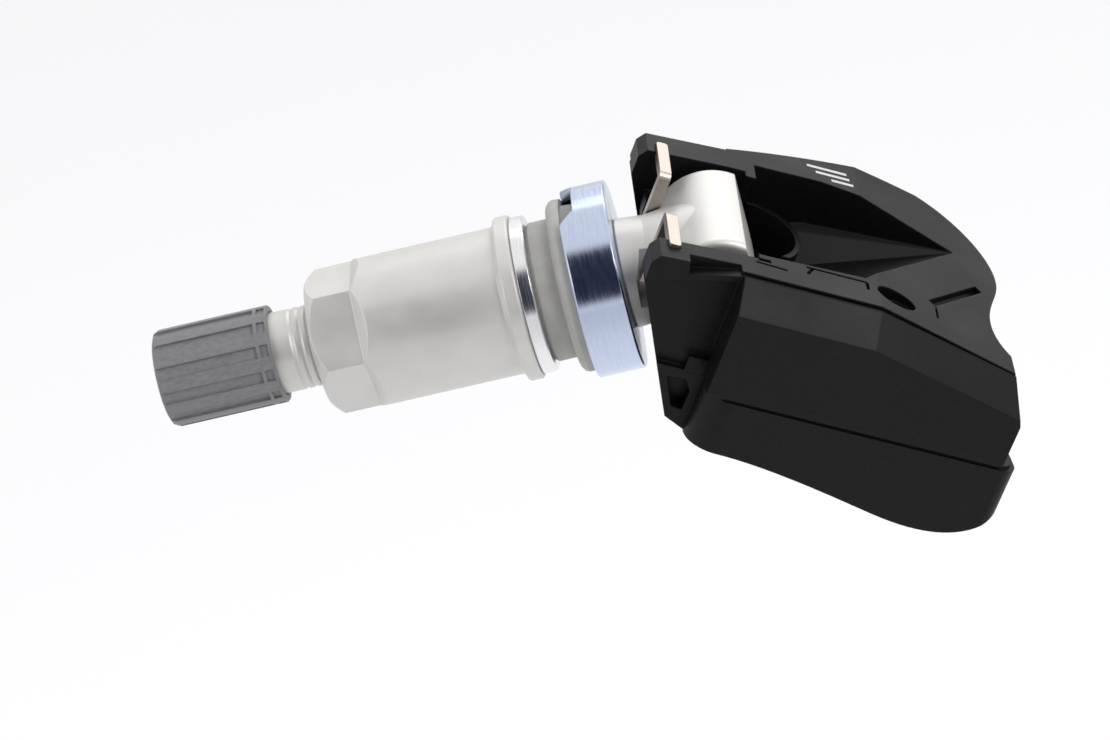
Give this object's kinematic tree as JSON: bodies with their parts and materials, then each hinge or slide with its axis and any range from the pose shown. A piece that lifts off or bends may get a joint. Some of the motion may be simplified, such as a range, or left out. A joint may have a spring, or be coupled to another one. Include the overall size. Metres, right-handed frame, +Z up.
{
  "type": "tyre pressure sensor",
  "caption": "Clamp-in aluminium tyre valve with collar nut, seals and cap, hinged to a black moulded pressure sensor housing.",
  "frame": {"origin": "centre of the rim hole, in the plane of the rim's inner face, where the rubber flange seats", "axes": "+X along the valve towards the inside of the wheel; +Y across the housing, parallel to the foot's axis; +Z up, the side the housing's channel opens to"},
  "size_m": [0.078, 0.0289, 0.036],
  "materials": {
    "aluminium": "fine-blasted and clear anodised",
    "plated_steel": "bright zinc plate with fine turning marks",
    "polished_ring": "polished, with turning streaks",
    "seal_rubber": "grey moulded rubber",
    "spring_steel": "bare spring steel",
    "cap_plastic": "dark grey moulded plastic",
    "housing_plastic": "black glass-filled plastic with a fine moulded grain",
    "black_rubber": "black rubber",
    "brass": "turned brass",
    "board": "green solder mask",
    "cell_steel": "nickel-plated cell can",
    "tab_steel": "nickel strip",
    "chip_plastic": "moulded chip package",
    "crystal_metal": "plated crystal lid",
    "coil_copper": "enamelled copper winding",
    "ferrite": "dark sintered ferrite",
    "filter": "dark breathable membrane"
  },
  "bodies": {
    "valve": {"valve_stem": "aluminium", "rim_grommet": "seal_rubber", "cup_washer": "plated_steel", "valve_core_body": "brass", "core_spring": "spring_steel"},
    "housing": {"base_shell": "housing_plastic", "housing_body": "housing_plastic", "cradle_cover": "housing_plastic", "retaining_clip": "spring_steel", "circuit_board": "board", "battery_cell": "cell_steel", "battery_tab_negative": "tab_steel", "battery_tab_positive": "tab_steel", "pressure_sensor_chip": "chip_plastic", "radio_chip": "chip_plastic", "crystal": "crystal_metal", "antenna_coil": "coil_copper", "coil_ferrite": "ferrite", "port_filter": "filter", "port_gasket": "black_rubber"},
    "washer": {"slip_washer": "polished_ring"},
    "nut": {"hex_collar_nut": "aluminium"},
    "cap_ring": {"cap_seal": "black_rubber"},
    "cap": {"valve_cap": "cap_plastic"},
    "pin": {"core_pin": "brass", "core_seal": "black_rubber"}
  },
  "joints": [
    {"name": "housing_swivel", "type": "hinge", "parent": "valve", "child": "housing", "pos_m": [0.0143, 0, 0], "axis": [0, 1, 0], "range_deg": [-16, 5]},
    {"name": "nut_travel", "type": "slide", "parent": "valve", "child": "washer", "axis": [-1, 0, 0], "range_m": [0, 0.0035]},
    {"name": "nut_turn", "type": "hinge", "parent": "washer", "child": "nut", "pos_m": [-0.012, 0, 0], "axis": [-1, 0, 0], "range_deg": [0, 1600]},
    {"name": "cap_travel", "type": "slide", "parent": "valve", "child": "cap_ring", "axis": [-1, 0, 0], "range_m": [0, 0.00948]},
    {"name": "cap_turn", "type": "hinge", "parent": "cap_ring", "child": "cap", "pos_m": [-0.033, 0, 0], "axis": [-1, 0, 0], "range_deg": [0, 4300]},
    {"name": "core_pin_press", "type": "slide", "parent": "valve", "child": "pin", "axis": [1, 0, 0], "range_m": [0, 0.0013], "stiffness_N_per_m": 1500, "springref_m": -0.002}
  ],
  "couplings": [
    {"joint": "nut_turn", "follows": "nut_travel", "rad_per_m": 7913.3},
    {"joint": "cap_turn", "follows": "cap_travel", "rad_per_m": 7913.3}
  ]
}
